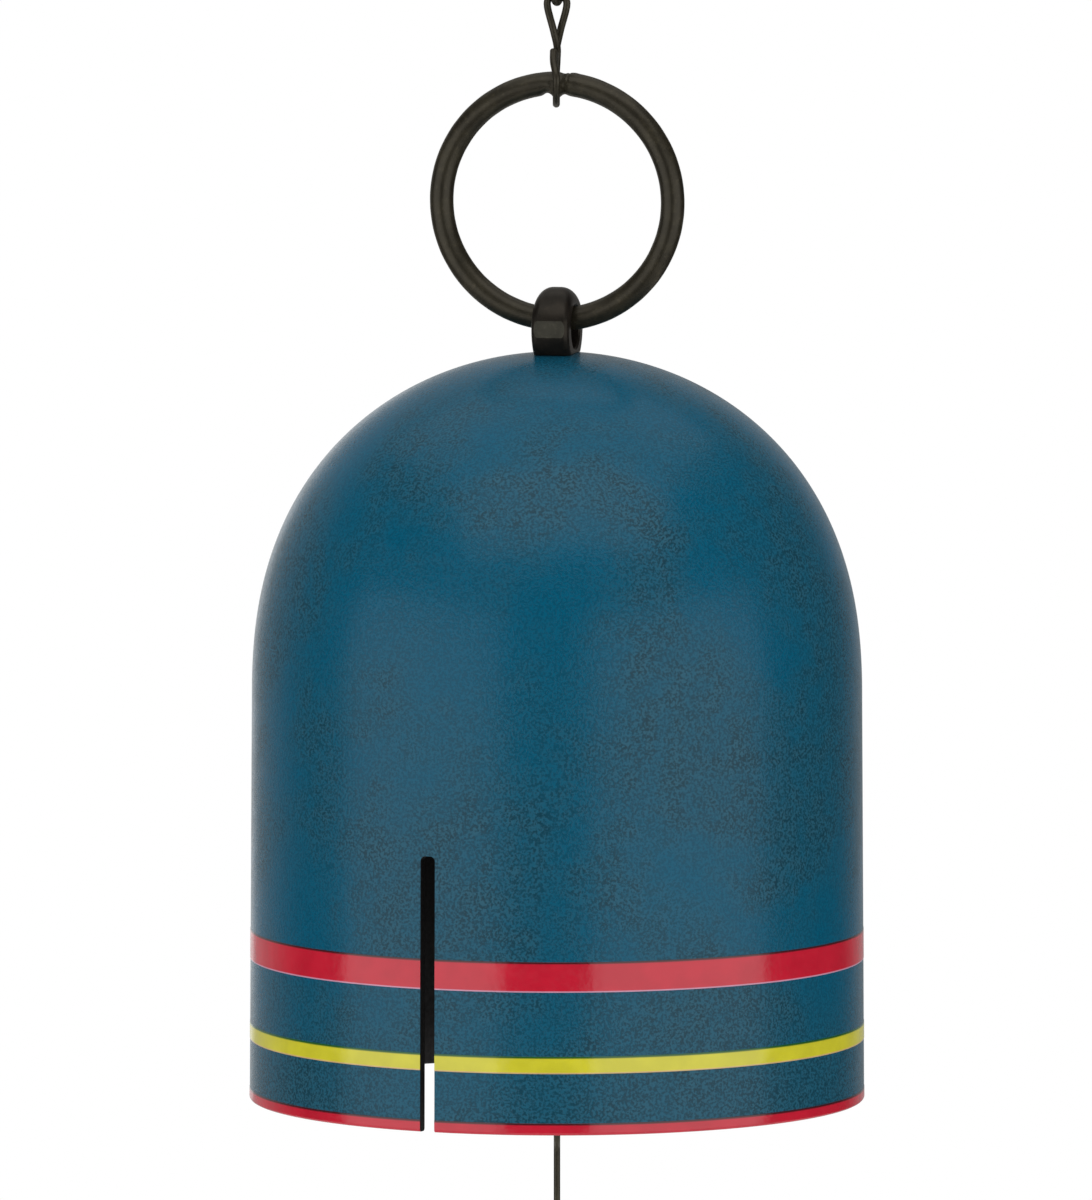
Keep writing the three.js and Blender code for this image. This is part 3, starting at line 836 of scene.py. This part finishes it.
def clapper_collar(name, node_name):
    """A short tube with two dents where it is crimped on the rod."""
    low, high = (end.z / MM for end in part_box(node_name))
    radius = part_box(node_name)[1].x / MM
    hole = ROD_WIRE / 2 + BORE_GAP
    edge = 0.5
    middle = (low + high) / 2
    dent_depth, dent_width = 0.45, 0.9
    dent_edge = 0.6  # how far round the tube each dent reaches, as a cosine
    rows = 10
    profile = [(hole, low), *corner(radius - edge, low + edge, edge, -90, 0, 4)]
    profile += [(radius, low + edge + (high - low - 2 * edge) * i / rows) for i in range(1, rows)]
    profile += [*corner(radius - edge, high - edge, edge, 0, 90, 4), (hole, high)]
    points, faces = lathe(profile, 64)
    crimped = []
    for x, y, z in points:
        reach = math.hypot(x, y)
        facing = max(0, abs(x) / reach - dent_edge) / (1 - dent_edge)
        outside = reach > hole + edge
        dent = dent_depth * facing * swell(z, middle, dent_width) if outside else 0
        crimped.append((x * (1 - dent / reach), y * (1 - dent / reach), z))
    piece = new_piece(name, crimped, faces, [ZINC])
    dress(clean(piece), "clapper", "zinc_steel", node_name)


def sail_wire():
    top = pivot("sail_wire_swing") + (ROD_WIRE + SAIL_WIRE) / 2 + SEAT_GAP
    piece = eyed_wire("bent_wire", SAIL_WIRE, SAIL_EYE_INSIDE, top, pivot("sail_swing"), 90, BRONZE)
    dress(piece, "sail_wire", "dark_bronze", "sail_wire")


def sail_outline(inset):
    """Ear, tangent sides and round lower corners of the sail in XZ, about its hole."""
    ear = SAIL_HOLE / 2 + SAIL_MARGIN
    corner_x = SAIL_WIDTH / 2 - SAIL_CORNER
    corner_z = ear + SAIL_CORNER - SAIL_HEIGHT
    reach = math.hypot(corner_x, corner_z)
    side = math.degrees(math.atan2(corner_z, corner_x) + math.acos((ear - SAIL_CORNER) / reach))
    return [
        *corner(0, 0, ear - inset, side, 180 - side, 24),
        *corner(-corner_x, corner_z, SAIL_CORNER - inset, 180 - side, 270, 16),
        *corner(corner_x, corner_z, SAIL_CORNER - inset, -90, side, 16),
    ]


def wind_sail():
    """Flat plate with eased edges and a drilled hole."""
    edge = 0.3
    half = SAIL_THICKNESS / 2
    centre = pivot("sail_swing") + SAIL_WIRE / 2 + SEAT_GAP - SAIL_HOLE / 2
    rows = [(-half, edge), (edge - half, 0), (half - edge, 0), (half, edge)]
    points = [Vector((x, y, z + centre)) for y, inset in rows for x, z in sail_outline(inset)]
    faces = capped(len(rows), len(points) // len(rows))
    plate = clean(new_piece("sail_plate", points, faces, [PATINA]))
    hole = SAIL_HOLE / 2
    flat = half - edge
    wide, past = hole + CUT_PAST, flat + CUT_PAST
    bore = rod_between("drill", [(wide, -past), (hole, -flat), (hole, flat), (wide, past)])
    for point in bore.data.vertices:
        across, along, up = point.co
        point.co = (across, up, along + centre * MM)
    plate = clean(combined(plate, clean(bore), "DIFFERENCE"))
    dress(plate, "sail", "blue_patina", "wind_sail")


# Studio

def aim(piece, place, target):
    piece.location = place * MM
    piece.rotation_euler = (target - place).to_track_quat("-Z", "Y").to_euler()


def heading(azimuth, elevation):
    """Direction that many degrees to the right of the front and above level."""
    a, e = math.radians(azimuth), math.radians(elevation)
    return Vector((math.sin(a) * math.cos(e), -math.cos(a) * math.cos(e), math.sin(e)))


def camera():
    rim_up = (RIM_ROW - PHOTO_HEIGHT / 2) * PIXEL / math.cos(math.radians(ELEVATION))
    target = Vector(((PHOTO_WIDTH / 2 - AXIS_COLUMN) * PIXEL, 0, RIM + rim_up))
    data = bpy.data.cameras.new("camera")
    data.sensor_width = 36
    data.lens = data.sensor_width * DISTANCE / (PHOTO_HEIGHT * PIXEL)
    data.clip_end = 20
    made = bpy.data.objects.new("camera", data)
    bpy.context.scene.collection.objects.link(made)
    aim(made, target + heading(0, ELEVATION) * DISTANCE, target)
    bpy.context.scene.camera = made


def softbox(name, left, right, low, high, radiance):
    """A flat light that fills a range of degrees across and up, as seen from the bell."""
    data = bpy.data.lights.new(name, "AREA")
    data.shape = "RECTANGLE"
    data.size = 2 * SOFTBOX_DISTANCE * math.tan(math.radians(right - left) / 2) * MM
    data.size_y = 2 * SOFTBOX_DISTANCE * math.tan(math.radians(high - low) / 2) * MM
    data.energy = radiance * math.pi * data.size * data.size_y
    made = bpy.data.objects.new(name, data)
    bpy.context.scene.collection.objects.link(made)
    target = Vector((0, 0, RIM + BELL_HEIGHT / 2))
    aim(made, target + heading((left + right) / 2, (low + high) / 2) * SOFTBOX_DISTANCE, target)
    made.visible_camera = False


def white_room():
    """White to the camera. Reflections show a dim room with a white wall behind the bell, to the left."""
    world = bpy.data.worlds.new("studio")
    world.use_nodes = True
    tree = world.node_tree
    path = node(tree, "ShaderNodeLightPath")
    direction = node(tree, "ShaderNodeTexCoord").outputs["Generated"]
    towards_wall = node(tree, "ShaderNodeVectorMath", {"operation": "DOT_PRODUCT"})
    feed(tree, towards_wall.inputs[0], direction)
    feed(tree, towards_wall.inputs[1], heading(WALL_AZIMUTH, 0))
    facing = towards_wall.outputs["Value"]
    glow = between(tree, facing, *GLOW_EDGE, DIM_ROOM, WALL_GLOW)
    lit_wall = between(tree, facing, *WALL_EDGE, glow, 1.0)
    ambient = between(tree, facing, -1.0, 1.0, *AMBIENT)
    room = between(tree, path.outputs["Is Glossy Ray"], 0.0, 1.0, ambient, lit_wall)
    strength = between(tree, path.outputs["Is Camera Ray"], 0.0, 1.0, room, 1.0)
    background = tree.nodes["Background"]
    feed_named(tree, background, Color=(1, 1, 1, 1), Strength=strength)
    bpy.context.scene.world = world


def floor_paint(tree, shader, place):
    """Pale floor that fades out towards its edge."""
    reach = node(tree, "ShaderNodeVectorMath", {"operation": "LENGTH"}, Vector=place).outputs["Value"]
    shade = clouds(tree, place, 160, 3, 0.5)
    base = mixed(tree, shade, colour(240, 239, 236), colour(246, 246, 244))
    fade = between(tree, reach, *(share * FLOOR_RADIUS * MM for share in FLOOR_FADE), 1.0, 0.0)
    feed_named(tree, shader, Base_Color=base, Roughness=0.7, Alpha=fade)


def floor():
    height = cad_box[0][2] / MM - FLOOR_DROP
    rim = level_circle(0, FLOOR_RADIUS, 120)
    made = new_piece("floor", rim, [tuple(range(len(rim)))], [material("pale_floor", floor_paint)])
    made.location.z = height * MM


hanging_hook()
chain_link(
    "double_link_upper", LINK_TOP, -CHAIN_TURN, LINK_LOOP, 0, UPPER_PINCH,
    "upper_link", "chain_link_upper",
)
chain_link(
    "double_link_lower", pivot("lower_link_swing"), 0, RING_BAR + RING_PLAY, LINK_LEAN, LOWER_PINCH,
    "lower_link", "chain_link_lower",
)
hanging_ring()
crown_eye()
bell_shell()
crown_washer()
clapper_nut()
clapper_rod()
clapper_ball()
clapper_collar("crimped_collar_upper", "clapper_collar_upper")
clapper_collar("crimped_collar_lower", "clapper_collar_lower")
sail_wire()
wind_sail()

camera()
softbox("left_softbox", -85, -20.6, -25, 22, 1.1)
softbox("right_softbox", 12.3, 83, -25, 22, 1.1)
softbox("top_softbox", -31, 38, 43, 80, 1.15)
softbox("ceiling", -33, 38, 80, 128, 0.6)
white_room()
floor()
bpy.context.scene.view_settings.view_transform = "Standard"
